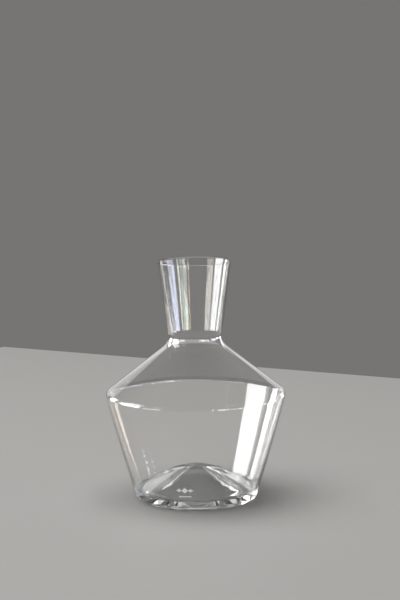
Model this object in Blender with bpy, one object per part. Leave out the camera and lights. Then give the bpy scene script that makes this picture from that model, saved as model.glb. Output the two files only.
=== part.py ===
"""A wine decanter: one mouth-blown vessel of clear glass, with a small fired-on mark low on its front.

Metres, +Z up. The origin is on the table, at the centre of the ring that the decanter stands on, and the
front is -Y. The vessel is a turned solid with an outer skin, an inner skin and an open mouth.
"""

import math

import bmesh
import bpy
import numpy as np

# Driving dimensions of the outer skin, in metres. Each corner is where two straight flanks would meet.
HEIGHT = 0.240
RIM_RADIUS = 0.0363
THROAT_RADIUS = 0.0258
THROAT_HEIGHT = 0.1588
SHOULDER_RADIUS = 0.0911
SHOULDER_HEIGHT = 0.1075
FOOT_RADIUS = 0.0603

# Roundings of those corners, and how far the wall swells out between the shoulder and the foot.
RIM_ROUND = 0.00035
THROAT_ROUND = 0.0150
SHOULDER_ROUND = 0.0066
HEEL_ROUND = 0.0040
WALL_SWELL = 0.0006

# Glass thickness at the same corners. Blown glass is thin where it was stretched most.
RIM_THICKNESS = 0.0012
THROAT_THICKNESS = 0.0025
SHOULDER_THICKNESS = 0.0011
FOOT_THICKNESS = 0.0026

# The base: a flat standing ring, a domed floor inside, and a pushed-up tent of glass under it, the punt.
STAND_WIDTH = 0.0026
STAND_ROUND = 0.0015
FLOOR_HEIGHT = 0.0326
FLOOR_BOW = 7.1  # fall of the floor, per metre of radius squared
TROUGH_ROUND = 0.0035
PUNT_HEIGHT = 0.0296
PUNT_SLOPE = 0.42
PUNT_BOW = 2.4
PUNT_TIP_ROUND = 0.0040
BASE_RINGS = 8

# The mark: lozenges strung on a fine line, over a shorter plain line, both bent round the wall.
MARK_TURN = math.radians(-10.0)  # about +Z from the front
MARK_THICKNESS = 0.0003
MARK_GAP = 0.0003
LOZENGE_HEIGHT = 0.0222
LOZENGES = (  # place of the centre along the string, half length, half width
    (-0.0056, 0.0024, 0.0018),
    (0.0, 0.0032, 0.0030),
    (0.0056, 0.0024, 0.0018),
)
STRING_HALF_LENGTH = 0.0090
STRING_HALF_WIDTH = 0.0003
LINE_HEIGHT = 0.0158
LINE_HALF_LENGTH = 0.0060
LINE_HALF_WIDTH = 0.0005
LINE_COLUMNS = 9

TURN_STEPS = 64  # facets round the vessel
ARC_STEPS = 5
WALL_STEPS = 4


def fillet(before, corner, after, radius, steps=ARC_STEPS):
    """The points of the arc that rounds a corner of a path."""
    before, corner, after = np.array(before), np.array(corner), np.array(after)
    back = (before - corner) / np.linalg.norm(before - corner)
    onward = (after - corner) / np.linalg.norm(after - corner)
    half_angle = math.acos(float(back @ onward)) / 2
    middle = (back + onward) / np.linalg.norm(back + onward)
    centre = corner + middle * radius / math.sin(half_angle)
    start = corner + back * radius / math.tan(half_angle) - centre
    end = corner + onward * radius / math.tan(half_angle) - centre
    sweep = math.pi - 2 * half_angle
    points = []
    for step in range(steps + 1):
        share = step / steps
        blend = math.sin((1 - share) * sweep) * start + math.sin(share * sweep) * end
        points.append(tuple(centre + blend / math.sin(sweep)))
    return points


def inset(before, corner, after, thickness):
    """The corner of the inner skin: where both flanks meet again once moved in by the thickness."""
    before, corner, after = np.array(before), np.array(corner), np.array(after)
    down = (corner - before) / np.linalg.norm(corner - before)
    onward = (after - corner) / np.linalg.norm(after - corner)
    inward = np.array((down[1], -down[0])) + np.array((onward[1], -onward[0]))
    inward /= np.linalg.norm(inward)
    return tuple(corner + inward * thickness / float(inward @ (down[1], -down[0])))


def swollen(top, bottom):
    """Points along the wall between two ends, leaning out by WALL_SWELL halfway."""
    points = []
    for step in range(1, WALL_STEPS):
        share = step / WALL_STEPS
        swell = WALL_SWELL * 4 * share * (1 - share)
        radius = top[0] + (bottom[0] - top[0]) * share + swell
        points.append((radius, top[1] + (bottom[1] - top[1]) * share))
    return points


def floor_height(radius):
    """Height of the floor inside at a radius: a shallow dome."""
    return FLOOR_HEIGHT - FLOOR_BOW * radius**2


def punt_height(radius):
    """Height of the underside at a radius: a bowed cone with a small rounded tip."""
    cone = PUNT_SLOPE * (math.hypot(radius, PUNT_TIP_ROUND) - PUNT_TIP_ROUND)
    return PUNT_HEIGHT - cone - PUNT_BOW * radius**2


def rings_of(surface, edge):
    """Points of a surface from the axis out to its edge, closer together near the axis."""
    radii = [edge * (ring / BASE_RINGS) ** 1.4 for ring in range(BASE_RINGS)]
    return [(radius, surface(radius)) for radius in radii]


RIM = (RIM_RADIUS, HEIGHT)
THROAT = (THROAT_RADIUS, THROAT_HEIGHT)
SHOULDER = (SHOULDER_RADIUS, SHOULDER_HEIGHT)
FOOT = (FOOT_RADIUS, 0.0)


def outer_skin():
    """(radius, height) down the outside, from the rim to the outer edge of the standing ring."""
    shoulder = fillet(THROAT, SHOULDER, FOOT, SHOULDER_ROUND)
    heel = fillet(SHOULDER, FOOT, (0.0, 0.0), HEEL_ROUND)
    rim = fillet((RIM_RADIUS - RIM_THICKNESS, HEIGHT), RIM, THROAT, RIM_ROUND, 3)
    throat = fillet(RIM, THROAT, SHOULDER, THROAT_ROUND)
    return rim + throat + shoulder + swollen(shoulder[-1], heel[0]) + heel


def underside(stand_edge):
    """From the inner edge of the standing ring up under the punt to the axis."""
    inner_edge = (stand_edge - STAND_WIDTH, 0.0)
    reach = inner_edge[0] - STAND_ROUND
    rise = fillet((stand_edge, 0.0), inner_edge, (reach, punt_height(reach)), STAND_ROUND, 3)
    return rise + rings_of(punt_height, reach)[::-1]


def inner_skin():
    """From the axis out over the floor, through the trough round it, and up the inside to the rim."""
    mouth = (RIM_RADIUS - RIM_THICKNESS, HEIGHT)
    throat = inset(RIM, THROAT, SHOULDER, THROAT_THICKNESS)
    shoulder = inset(THROAT, SHOULDER, FOOT, SHOULDER_THICKNESS)
    foot = (FOOT_RADIUS - FOOT_THICKNESS, 0.0)
    lean = (shoulder[0] - foot[0]) / shoulder[1]
    low = foot[0] + lean * floor_height(foot[0])
    trough = (foot[0] + lean * floor_height(low), floor_height(low))
    near = trough[0] - 2 * TROUGH_ROUND
    bend = fillet((near, floor_height(near)), trough, shoulder, TROUGH_ROUND)
    shoulder_bend = fillet(foot, shoulder, throat, SHOULDER_ROUND - SHOULDER_THICKNESS)
    throat_bend = fillet(shoulder, throat, mouth, THROAT_ROUND + THROAT_THICKNESS)
    rim = fillet(throat, mouth, RIM, RIM_ROUND, 3)
    wall = swollen(shoulder_bend[0], bend[-1])[::-1]
    return rings_of(floor_height, bend[0][0]) + bend + wall + shoulder_bend + throat_bend + rim


def material(name, colour, roughness, transmission=0.0):
    made = bpy.data.materials.new(name)
    made.use_nodes = True
    shader = made.node_tree.nodes["Principled BSDF"]
    shader.inputs["Base Color"].default_value = (*colour, 1.0)
    shader.inputs["Roughness"].default_value = roughness
    shader.inputs["Metallic"].default_value = 0.0
    shader.inputs["Transmission Weight"].default_value = transmission
    shader.inputs["IOR"].default_value = 1.52
    return made


def add_object(name, mesh, finish):
    piece = bpy.data.objects.new(name, mesh)
    piece.data.materials.append(finish)
    bpy.context.scene.collection.objects.link(piece)
    return piece


def glass_vessel():
    """The closed outline of the glass, turned about +Z by a Screw modifier."""
    outside = outer_skin()
    outline = inner_skin() + outside + underside(outside[-1][0])
    mesh = bpy.data.meshes.new("glass_vessel")
    edges = [(index, index + 1) for index in range(len(outline) - 1)]
    mesh.from_pydata([(radius, 0.0, height) for radius, height in outline], edges, [])
    clear = material("clear_glass", (0.96, 0.98, 0.97), 0.02, transmission=1.0)
    vessel = add_object("glass_vessel", mesh, clear)
    turn = vessel.modifiers.new("Turn", "SCREW")
    turn.axis = "Z"
    turn.angle = math.tau
    turn.steps = TURN_STEPS
    turn.render_steps = TURN_STEPS
    turn.use_merge_vertices = True
    turn.merge_threshold = 0.00001
    turn.use_smooth_shade = True
    return vessel


def wall_radius(height):
    """Radius of the outer wall at a height between the foot and the shoulder."""
    share = 1 - height / SHOULDER_HEIGHT
    straight = SHOULDER_RADIUS + (FOOT_RADIUS - SHOULDER_RADIUS) * share
    return straight + WALL_SWELL * 4 * share * (1 - share)


def on_wall(along, height, out):
    """A point at a distance along the wall from the mark's middle, and a distance out from the glass."""
    angle = MARK_TURN - math.pi / 2 + along / wall_radius(height)
    radius = wall_radius(height) + out
    return (radius * math.cos(angle), radius * math.sin(angle), height)


def mark_strip(name, height, columns, finish):
    """A strip of enamel on the wall. Each column gives its place along the strip and its half width."""
    shape = bmesh.new()
    rings = []
    back, front = MARK_GAP, MARK_GAP + MARK_THICKNESS
    for along, half in columns:
        low, high = height - half, height + half
        section = ((low, back), (low, front), (high, front), (high, back))
        rings.append([shape.verts.new(on_wall(along, level, out)) for level, out in section])
    for ring, following in zip(rings, rings[1:]):
        for side in range(4):
            after = (side + 1) % 4
            shape.faces.new((ring[side], following[side], following[after], ring[after]))
    shape.faces.new(rings[0])
    shape.faces.new(rings[-1][::-1])
    bmesh.ops.recalc_face_normals(shape, faces=shape.faces)
    mesh = bpy.data.meshes.new(name)
    shape.to_mesh(mesh)
    shape.free()
    return add_object(name, mesh, finish)


def string_columns():
    """Columns of the strung lozenges: each lozenge tapers from its middle down to the string's width."""
    columns = [(-STRING_HALF_LENGTH, STRING_HALF_WIDTH)]
    for centre, half_length, half_width in LOZENGES:
        reach = half_length * (1 - STRING_HALF_WIDTH / half_width)
        columns.append((centre - reach, STRING_HALF_WIDTH))
        columns.append((centre, half_width))
        columns.append((centre + reach, STRING_HALF_WIDTH))
    return columns + [(STRING_HALF_LENGTH, STRING_HALF_WIDTH)]


def line_columns():
    places = np.linspace(-LINE_HALF_LENGTH, LINE_HALF_LENGTH, LINE_COLUMNS)
    return [(along, LINE_HALF_WIDTH) for along in places]


def main():
    for item in list(bpy.data.objects):
        bpy.data.objects.remove(item)
    glass_vessel()
    enamel = material("white_enamel", (0.86, 0.87, 0.86), 0.45)
    mark_strip("mark_lozenges", LOZENGE_HEIGHT, string_columns(), enamel)
    mark_strip("mark_line", LINE_HEIGHT, line_columns(), enamel)


main()
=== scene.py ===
"""The looks of the wine decanter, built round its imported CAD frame.

Metres, +Z up, front -Y. The blown glass is one turned skin, outer and inner, made fine enough to carry its
faint waviness and the rings that the shaping tool leaves in the lower wall. The fired-on mark keeps its
shape from the frame and gets its enamel here. A pale table and soft light stand round them.
"""

import math

import bpy
import numpy as np
from mathutils import Matrix, Vector, noise


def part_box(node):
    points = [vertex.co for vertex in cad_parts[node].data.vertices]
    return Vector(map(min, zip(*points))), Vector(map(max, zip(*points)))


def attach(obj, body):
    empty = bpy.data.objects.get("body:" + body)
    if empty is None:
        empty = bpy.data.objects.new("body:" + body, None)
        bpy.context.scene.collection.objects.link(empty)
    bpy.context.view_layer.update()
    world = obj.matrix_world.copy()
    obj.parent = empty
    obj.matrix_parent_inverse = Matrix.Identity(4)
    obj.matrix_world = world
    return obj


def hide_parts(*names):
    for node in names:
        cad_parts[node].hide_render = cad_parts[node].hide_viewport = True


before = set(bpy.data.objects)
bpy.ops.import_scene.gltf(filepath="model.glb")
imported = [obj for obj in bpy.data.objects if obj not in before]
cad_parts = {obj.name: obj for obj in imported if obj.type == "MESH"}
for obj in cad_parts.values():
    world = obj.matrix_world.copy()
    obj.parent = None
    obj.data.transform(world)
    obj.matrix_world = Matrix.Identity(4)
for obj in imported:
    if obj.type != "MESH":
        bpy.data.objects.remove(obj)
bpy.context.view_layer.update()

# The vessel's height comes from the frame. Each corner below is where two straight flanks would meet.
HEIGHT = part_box("glass_vessel")[1][2]
RIM = (0.0363, HEIGHT)
THROAT = (0.0258, 0.1588)
SHOULDER = (0.0911, 0.1075)
FOOT = (0.0603, 0.0)

# Roundings of those corners, and how far the wall swells out between the shoulder and the foot.
THROAT_ROUND = 0.0150
SHOULDER_ROUND = 0.0066
HEEL_ROUND = 0.0040
WALL_SWELL = 0.0006

# Glass thickness at the same corners.
RIM_THICKNESS = 0.0012
THROAT_THICKNESS = 0.0025
SHOULDER_THICKNESS = 0.0011
FOOT_THICKNESS = 0.0026

# The base: a flat standing ring, a domed floor inside, and a pushed-up tent of glass under it, the punt.
STAND_WIDTH = 0.0026
STAND_ROUND = 0.0015
FLOOR_HEIGHT = 0.0326
FLOOR_BOW = 7.1  # fall of the floor, per metre of radius squared
TROUGH_ROUND = 0.0035
PUNT_HEIGHT = 0.0296
PUNT_SLOPE = 0.42
PUNT_BOW = 2.4
PUNT_TIP_ROUND = 0.0040

# How finely the skins are cut: round the axis, along arcs, and the longest step along straight stretches.
TURN_STEPS = 192
ARC_STEPS = 12
STAND_ARC_STEPS = 6
WALL_STEPS = 40
BASE_RINGS = 32
RING_CROWDING = 1.3  # above 1, the base's rings lie closer together near the tip
LONGEST_STEP = 0.0020
RIPPLE_STEP = 0.0007

# Hand-blown irregularity: broad waves in both skins, and rings that the shaping tool leaves low on the
# outside. The rings lie closer together towards their top.
WAVE_HEIGHT = 0.000025
WAVE_SPACING = 0.030
WAVE_STRETCH = 3  # how much longer the waves are along the axis than across it
INNER_SEED = 7.3  # sets the inner skin's waves apart from the outer skin's
STILL_EDGE = 0.004  # the waves die away over this distance from the table and from the axis
RIPPLE_HEIGHT = 0.000032
RIPPLE_LEAST = 0.15  # share of that height on the left, where the rings are faintest
RIPPLE_LOW = 0.010
RIPPLE_TOP = 0.064
RIPPLE_PITCH = 0.0085  # from ring to ring at RIPPLE_LOW
RIPPLE_CLOSING = 0.095  # loss of pitch per metre of height
RIPPLE_SLANT = 0.0012
RIPPLE_SLANT_SPACING = 0.06
RIPPLE_SLANT_SEED = 3.1
RIPPLE_FADING = 0.7  # below 1, the rings keep their depth nearer to their lowest and highest ends
RIPPLE_DEPTH = 0.75
RIPPLE_DEPTH_SWING = 0.5  # most that the depth strays from RIPPLE_DEPTH, from patch to patch
RIPPLE_PATCH = 0.03
RIPPLE_PATCH_TALL = 0.02

# The table, and the gap that keeps it from touching the standing ring's face.
TABLE_HALF = 0.70
TABLE_TURN = -28
TABLE_GAP = 0.00005

# The upright lights stand round the decanter at one distance, and the ceiling light hangs over it.
LIGHT_DISTANCE = 2.6
LIGHT_MIDDLE = 0.12  # the level that their heights are measured from: half the decanter's height
CEILING_HEIGHT = 2.6
CEILING_SHIFT = 0.6  # towards the left, so that the shadow falls to the right

WHITE = (1, 1, 1)
LAVENDER = (0.76, 0.79, 1.0)
WARM = (1.0, 0.68, 0.48)
GREENISH = (0.91, 1.0, 0.89)
CREAM = (1.0, 0.93, 0.88)

# Name, turns from the camera's side in degrees (negative to its left), heights in degrees above the
# decanter's middle, radiance and colour.
WINDOWS = (
    ("window_left", (-110, -76), (-3, 20), 8.0, WHITE),  # the broad streak at the right of the body
    ("window_left_soft", (-116, -74), (-3, 22), 2.0, WHITE),
    ("window_left_high", (-108, -78), (22, 40), 5.0, WHITE),  # the bright stroke left on the shoulder
    ("window_left_back", (-138, -124), (-5, 22), 8.0, WHITE),  # the outer streak at the right
    ("window_right_back", (141, 150), (-5, 16), 1.5, WHITE),
    ("window_right", (75, 88), (-4, 7.5), 9.0, LAVENDER),  # with the next two, the neck's left streak
    ("window_right_side", (88, 104), (-4, 4.7), 9.0, LAVENDER),
    ("window_right_edge", (104, 122), (-7, -1), 9.0, LAVENDER),
    ("lamp_right_back", (138, 152), (-7, -3), 3.0, WARM),  # the neck's edges and the left wall
    ("strip_front_right", (56, 61), (-3, 9), 12.0, GREENISH),  # the fine streaks along the neck
    ("strip_front_right_2", (44, 52), (-3, 9), 5.0, GREENISH),
    ("strip_front_right_3", (28, 42), (-3, 9), 9.0, GREENISH),
    ("lamp_front_right", (20, 22), (-3, 10), 20.0, WARM),
    ("strip_front_left", (-69, -45), (-3, 9), 6.0, CREAM),
    ("wall_left", (-172, -148), (-2, 24), 0.5, WHITE),  # the soft bands along the shoulder's outline
    ("wall_right", (150, 172), (-2, 14), 0.5, WHITE),
    ("high_back", (165, 195), (35, 50), 1.0, WHITE),  # the rings of the base
    ("high_front_left", (-60, -45), (20, 40), 1.0, WHITE),
)

# The camera: its distance from the axis and its height above the table, in metres, its turns in degrees,
# and its lens and sensor width in millimetres.
CAMERA_DISTANCE = 1.858
CAMERA_HEIGHT = 0.461
CAMERA_TILT = 7.975
CAMERA_PAN = 0.165
CAMERA_ROLL = -0.59
CAMERA_LENS = 112.8
CAMERA_SENSOR = 36.0


def fillet(before, corner, after, radius, steps=ARC_STEPS):
    """The points of the arc that rounds a corner of a path."""
    before, corner, after = np.array(before), np.array(corner), np.array(after)
    back = (before - corner) / np.linalg.norm(before - corner)
    onward = (after - corner) / np.linalg.norm(after - corner)
    half_angle = math.acos(float(back @ onward)) / 2
    middle = (back + onward) / np.linalg.norm(back + onward)
    centre = corner + middle * radius / math.sin(half_angle)
    start = corner + back * radius / math.tan(half_angle) - centre
    end = corner + onward * radius / math.tan(half_angle) - centre
    sweep = math.pi - 2 * half_angle
    points = []
    for step in range(steps + 1):
        share = step / steps
        blend = math.sin((1 - share) * sweep) * start + math.sin(share * sweep) * end
        points.append(tuple(centre + blend / math.sin(sweep)))
    return points


def inset(before, corner, after, thickness):
    """The corner of the inner skin: where both flanks meet again once moved in by the thickness."""
    before, corner, after = np.array(before), np.array(corner), np.array(after)
    down = (corner - before) / np.linalg.norm(corner - before)
    onward = (after - corner) / np.linalg.norm(after - corner)
    inward = np.array((down[1], -down[0])) + np.array((onward[1], -onward[0]))
    inward /= np.linalg.norm(inward)
    return tuple(corner + inward * thickness / float(inward @ (down[1], -down[0])))


def swollen(top, bottom):
    """Points along the wall between two ends, leaning out by WALL_SWELL halfway."""
    points = []
    for step in range(1, WALL_STEPS):
        share = step / WALL_STEPS
        swell = WALL_SWELL * 4 * share * (1 - share)
        radius = top[0] + (bottom[0] - top[0]) * share + swell
        points.append((radius, top[1] + (bottom[1] - top[1]) * share))
    return points


def floor_height(radius):
    """Height of the floor inside at a radius: a shallow dome."""
    return FLOOR_HEIGHT - FLOOR_BOW * radius**2


def punt_height(radius):
    """Height of the underside at a radius: a bowed cone with a small rounded tip."""
    cone = PUNT_SLOPE * (math.hypot(radius, PUNT_TIP_ROUND) - PUNT_TIP_ROUND)
    return PUNT_HEIGHT - cone - PUNT_BOW * radius**2


def rings_of(surface, edge):
    """Points of a surface from the axis out to its edge, closer together near the tip."""
    radii = [edge * (ring / BASE_RINGS) ** RING_CROWDING for ring in range(BASE_RINGS)]
    return [(radius, surface(radius)) for radius in radii]


def outer_skin():
    """Down the outside, from the throat side of the rim to the outer edge of the standing ring."""
    shoulder = fillet(THROAT, SHOULDER, FOOT, SHOULDER_ROUND)
    heel = fillet(SHOULDER, FOOT, (0.0, 0.0), HEEL_ROUND)
    throat = fillet(RIM, THROAT, SHOULDER, THROAT_ROUND)
    return throat + shoulder + swollen(shoulder[-1], heel[0]) + heel


def underside(stand_edge):
    """From the inner edge of the standing ring up under the punt to the axis."""
    inner_edge = (stand_edge - STAND_WIDTH, 0.0)
    reach = inner_edge[0] - STAND_ROUND
    after = (reach, punt_height(reach))
    rise = fillet((stand_edge, 0.0), inner_edge, after, STAND_ROUND, STAND_ARC_STEPS)
    return rise + rings_of(punt_height, reach)[::-1]


def inner_skin():
    """From the axis out over the floor, through the trough round it, and up the inside to the rim."""
    mouth = (RIM[0] - RIM_THICKNESS, HEIGHT)
    throat = inset(RIM, THROAT, SHOULDER, THROAT_THICKNESS)
    shoulder = inset(THROAT, SHOULDER, FOOT, SHOULDER_THICKNESS)
    foot = (FOOT[0] - FOOT_THICKNESS, 0.0)
    lean = (shoulder[0] - foot[0]) / shoulder[1]
    low = foot[0] + lean * floor_height(foot[0])
    trough = (foot[0] + lean * floor_height(low), floor_height(low))
    near = trough[0] - 2 * TROUGH_ROUND
    bend = fillet((near, floor_height(near)), trough, shoulder, TROUGH_ROUND)
    shoulder_bend = fillet(foot, shoulder, throat, SHOULDER_ROUND - SHOULDER_THICKNESS)
    throat_bend = fillet(shoulder, throat, mouth, THROAT_ROUND + THROAT_THICKNESS)
    wall = swollen(shoulder_bend[0], bend[-1])[::-1]
    return rings_of(floor_height, bend[0][0]) + bend + wall + shoulder_bend + throat_bend


def lip():
    """The fire-polished rim: a half round from the inner skin over to the outer one."""
    radius = RIM_THICKNESS / 2
    centre = (RIM[0] - radius, HEIGHT - radius)
    turns = [math.pi * step / ARC_STEPS for step in range(ARC_STEPS + 1)]
    return [(centre[0] - radius * math.cos(turn), centre[1] + radius * math.sin(turn)) for turn in turns]


def even_steps(path):
    """The same path with its long stretches cut into short steps, the shortest where the wall is rippled."""
    points = [path[0]]
    for start, end in zip(path, path[1:]):
        rippled = start[0] > FOOT[0] and min(start[1], end[1]) < RIPPLE_TOP
        longest = RIPPLE_STEP if rippled else LONGEST_STEP
        cuts = max(1, math.ceil(math.dist(start, end) / longest))
        for cut in range(1, cuts + 1):
            share = cut / cuts
            points.append((start[0] + (end[0] - start[0]) * share, start[1] + (end[1] - start[1]) * share))
    return points


def normals_of(path):
    """Unit normals along a path, pointing out of the glass, which lies to the right of its direction."""
    points = np.array(path)
    along = np.gradient(points, axis=0)
    along /= np.linalg.norm(along, axis=1)[:, None]
    return np.stack((-along[:, 1], along[:, 0]), axis=1)


def ripple(x, y, z):
    """The tool's rings low on the outside, a little slanted and uneven round the wall."""
    spot = Vector((x / RIPPLE_SLANT_SPACING, y / RIPPLE_SLANT_SPACING, RIPPLE_SLANT_SEED))
    slant = RIPPLE_SLANT * noise.noise(spot)
    pitch = RIPPLE_PITCH - RIPPLE_CLOSING * (z + slant - RIPPLE_LOW)
    wave = math.sin(math.tau / RIPPLE_CLOSING * math.log(pitch))
    fade = math.sin(math.pi * (RIPPLE_TOP - z) / (RIPPLE_TOP - RIPPLE_LOW)) ** RIPPLE_FADING
    patch = Vector((x / RIPPLE_PATCH, y / RIPPLE_PATCH, z / RIPPLE_PATCH_TALL))
    depth = RIPPLE_DEPTH + RIPPLE_DEPTH_SWING * noise.noise(patch)
    depth *= RIPPLE_LEAST + (1 - RIPPLE_LEAST) * ((1 + x / math.hypot(x, y)) / 2) ** 2
    return RIPPLE_HEIGHT * fade * depth * wave * pitch / RIPPLE_PITCH


def stray(x, y, z, inner):
    """How far the glass strays from its true form at a point."""
    seed = INNER_SEED if inner else 0.0
    place = Vector((x / WAVE_SPACING + seed, y / WAVE_SPACING, z / (WAVE_STRETCH * WAVE_SPACING)))
    shift = WAVE_HEIGHT * noise.noise(place)
    if not inner and RIPPLE_LOW < z < RIPPLE_TOP and math.hypot(x, y) > FOOT[0]:
        shift += ripple(x, y, z)
    return shift


def skin_faces(rows):
    """Faces between neighbouring rings of points, with one point on the axis for the first and last row."""
    faces = []
    last = rows - 1
    for row in range(last):
        start, after = 1 + (row - 1) * TURN_STEPS, 1 + row * TURN_STEPS
        for step in range(TURN_STEPS):
            following = (step + 1) % TURN_STEPS
            if row == 0:
                faces.append((0, after + step, after + following))
            elif row == last - 1:
                faces.append((start + step, after, start + following))
            else:
                faces.append((start + step, after + step, after + following, start + following))
    return faces


def glass_mesh():
    """The glass: its outline, turned about +Z point by point and strayed a little from its true form."""
    outside = outer_skin()
    inside = inner_skin()
    ring = lip()
    path = even_steps(inside + ring + outside + underside(outside[-1][0]))
    normals = normals_of(path)
    inner_end = path.index(min(path, key=lambda p: math.dist(p, ring[ARC_STEPS // 2])))
    vertices = []
    for row, ((radius, height), (out, up)) in enumerate(zip(path, normals)):
        for step in range(TURN_STEPS if 0 < row < len(path) - 1 else 1):
            angle = math.tau * step / TURN_STEPS
            x, y = radius * math.cos(angle), radius * math.sin(angle)
            hold = min(1.0, height / STILL_EDGE, radius / STILL_EDGE)
            shift = stray(x, y, height, row < inner_end) * hold
            far = radius + out * shift
            vertices.append((far * math.cos(angle), far * math.sin(angle), height + up * shift))
    mesh = bpy.data.meshes.new("decanter_glass")
    mesh.from_pydata(vertices, [], skin_faces(len(path)))
    mesh.shade_smooth()
    return mesh


def new_piece(name, mesh, finish):
    piece = bpy.data.objects.new(name, mesh)
    mesh.materials.append(finish)
    bpy.context.scene.collection.objects.link(piece)
    return piece


def new_material(name):
    made = bpy.data.materials.new(name)
    made.use_nodes = True
    nodes, links = made.node_tree.nodes, made.node_tree.links
    return made, nodes, links, nodes["Principled BSDF"]


def clear_glass():
    """Clear glass with a faint film that varies over it, and a slight tint that deepens with thickness."""
    made, nodes, links, shader = new_material("clear_glass")
    shader.inputs["Base Color"].default_value = (0.995, 0.997, 0.996, 1.0)
    shader.inputs["Transmission Weight"].default_value = 1.0
    shader.inputs["IOR"].default_value = 1.52
    place = nodes.new("ShaderNodeTexCoord")
    film = nodes.new("ShaderNodeTexNoise")
    film.inputs["Scale"].default_value = 60.0
    film.inputs["Detail"].default_value = 3.0
    links.new(place.outputs["Object"], film.inputs["Vector"])
    span = nodes.new("ShaderNodeMapRange")
    span.inputs["From Min"].default_value = 0.45
    span.inputs["From Max"].default_value = 0.8
    span.inputs["To Min"].default_value = 0.0
    span.inputs["To Max"].default_value = 0.03
    links.new(film.outputs["Fac"], span.inputs["Value"])
    links.new(span.outputs["Result"], shader.inputs["Roughness"])
    tint = nodes.new("ShaderNodeVolumeAbsorption")
    tint.inputs["Color"].default_value = (0.86, 0.92, 0.90, 1.0)
    tint.inputs["Density"].default_value = 3.0
    links.new(tint.outputs["Volume"], nodes["Material Output"].inputs["Volume"])
    return made


def decanter_glass():
    """The finished glass, which stands for the frame's glass_vessel."""
    glass = new_piece("decanter_glass", glass_mesh(), clear_glass())
    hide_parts("glass_vessel")
    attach(glass, "root")
    return glass


def white_enamel():
    """White enamel with a fine grain."""
    made, nodes, links, shader = new_material("white_enamel")
    place = nodes.new("ShaderNodeTexCoord")
    grain = nodes.new("ShaderNodeTexNoise")
    grain.inputs["Scale"].default_value = 900.0
    links.new(place.outputs["Object"], grain.inputs["Vector"])
    ramp = nodes.new("ShaderNodeValToRGB")
    ramp.color_ramp.elements[0].color = (0.70, 0.71, 0.70, 1.0)
    ramp.color_ramp.elements[1].color = (0.92, 0.93, 0.92, 1.0)
    links.new(grain.outputs["Fac"], ramp.inputs["Fac"])
    links.new(ramp.outputs["Color"], shader.inputs["Base Color"])
    shader.inputs["Roughness"].default_value = 0.45
    return made


def dress_mark():
    """Gives the mark's nodes their enamel."""
    finish = white_enamel()
    nodes = [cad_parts[name] for name in ("mark_lozenges", "mark_line")]
    for node in nodes:
        for spot in node.material_slots:
            spot.material = finish
    return nodes


def table():
    """The plain pale table."""
    mesh = bpy.data.meshes.new("table")
    corners = [(-1, -1), (1, -1), (1, 1), (-1, 1)]
    mesh.from_pydata([(TABLE_HALF * x, TABLE_HALF * y, 0) for x, y in corners], [], [(0, 1, 2, 3)])
    made, _, _, shader = new_material("pale_table")
    shader.inputs["Base Color"].default_value = (0.60, 0.59, 0.575, 1.0)
    shader.inputs["Roughness"].default_value = 0.50
    shader.inputs["Specular IOR Level"].default_value = 0.15
    top = new_piece("table", mesh, made)
    top.rotation_euler = (0, 0, math.radians(TABLE_TURN))
    top.location = (0, 0, -TABLE_GAP)
    return top


def group_of(name, things):
    group = bpy.data.collections.new(name)
    for thing in things:
        group.objects.link(thing)
    return group


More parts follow.
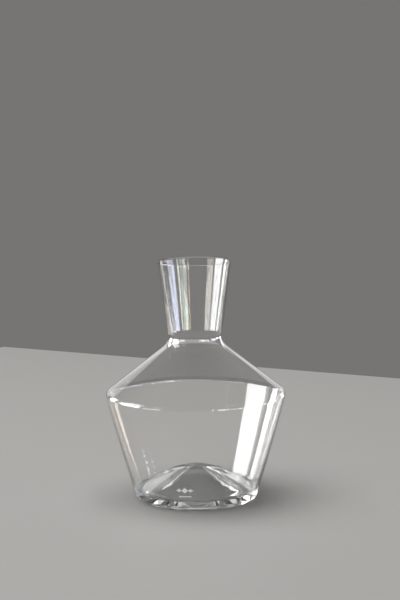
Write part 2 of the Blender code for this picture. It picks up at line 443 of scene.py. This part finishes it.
def soft_light(name, turns, heights, radiance, colour, lit):
    """A soft upright panel between two turns and two heights, as in WINDOWS, for the things in lit alone."""
    lamp = bpy.data.lights.new(name, "AREA")
    lamp.shape = "RECTANGLE"
    lamp.size = 2 * LIGHT_DISTANCE * math.tan(math.radians(turns[1] - turns[0]) / 2)
    low, high = (LIGHT_DISTANCE * math.tan(math.radians(height)) for height in heights)
    lamp.size_y = high - low
    lamp.energy = radiance * lamp.size * lamp.size_y * math.pi
    lamp.color = colour
    panel = bpy.data.objects.new(name, lamp)
    angle = math.radians(sum(turns) / 2)
    sideways, forward = LIGHT_DISTANCE * math.sin(angle), LIGHT_DISTANCE * math.cos(angle)
    panel.location = (sideways, -forward, LIGHT_MIDDLE + (low + high) / 2)
    panel.rotation_euler = (math.radians(90), 0, angle)
    panel.visible_camera = False
    panel.light_linking.receiver_collection = lit
    bpy.context.scene.collection.objects.link(panel)
    return panel


def windows(lit):
    """Window light for the glass and its mark alone, so that no glare lies on the table."""
    for name, turns, heights, radiance, colour in WINDOWS:
        soft_light(name, turns, heights, radiance, colour, lit)


def ceiling(lit):
    """One wide soft panel overhead, which makes the decanter's soft shadow on the table."""
    panel = soft_light("ceiling", (-30, 30), (-25, 25), 2.3, WHITE, lit)
    panel.location = (-CEILING_SHIFT, 0, CEILING_HEIGHT)
    panel.rotation_euler = (0, -math.atan(CEILING_SHIFT / CEILING_HEIGHT), 0)
    panel.visible_glossy = False
    panel.visible_transmission = False


def surroundings():
    """The plain grey backdrop, which is also the dim light from all round."""
    world = bpy.data.worlds.new("studio")
    world.use_nodes = True
    bpy.context.scene.world = world
    back = world.node_tree.nodes["Background"]
    back.inputs["Color"].default_value = (0.18, 0.177, 0.170, 1.0)
    back.inputs["Strength"].default_value = 1.0
    bpy.context.scene.view_settings.view_transform = "Standard"


def camera():
    lens = bpy.data.cameras.new("camera")
    lens.lens = CAMERA_LENS
    lens.sensor_width = CAMERA_SENSOR
    view = bpy.data.objects.new("camera", lens)
    turn = Matrix.Rotation(math.radians(-CAMERA_PAN), 4, "Z")
    tilt = Matrix.Rotation(math.radians(90 - CAMERA_TILT), 4, "X")
    roll = Matrix.Rotation(math.radians(CAMERA_ROLL), 4, "Z")
    view.matrix_world = Matrix.Translation((0, -CAMERA_DISTANCE, CAMERA_HEIGHT)) @ turn @ tilt @ roll
    bpy.context.scene.collection.objects.link(view)
    bpy.context.scene.camera = view


def light_paths():
    """Enough bounces for light to pass both walls and the thick base."""
    cycles = bpy.context.scene.cycles
    cycles.max_bounces = 24
    cycles.transmission_bounces = 24
    cycles.glossy_bounces = 12


glass = decanter_glass()
marks = dress_mark()
table_top = table()
windows(group_of("lit_by_windows", [glass, *marks]))
ceiling(group_of("lit_by_ceiling", [table_top, *marks]))
surroundings()
camera()
light_paths()
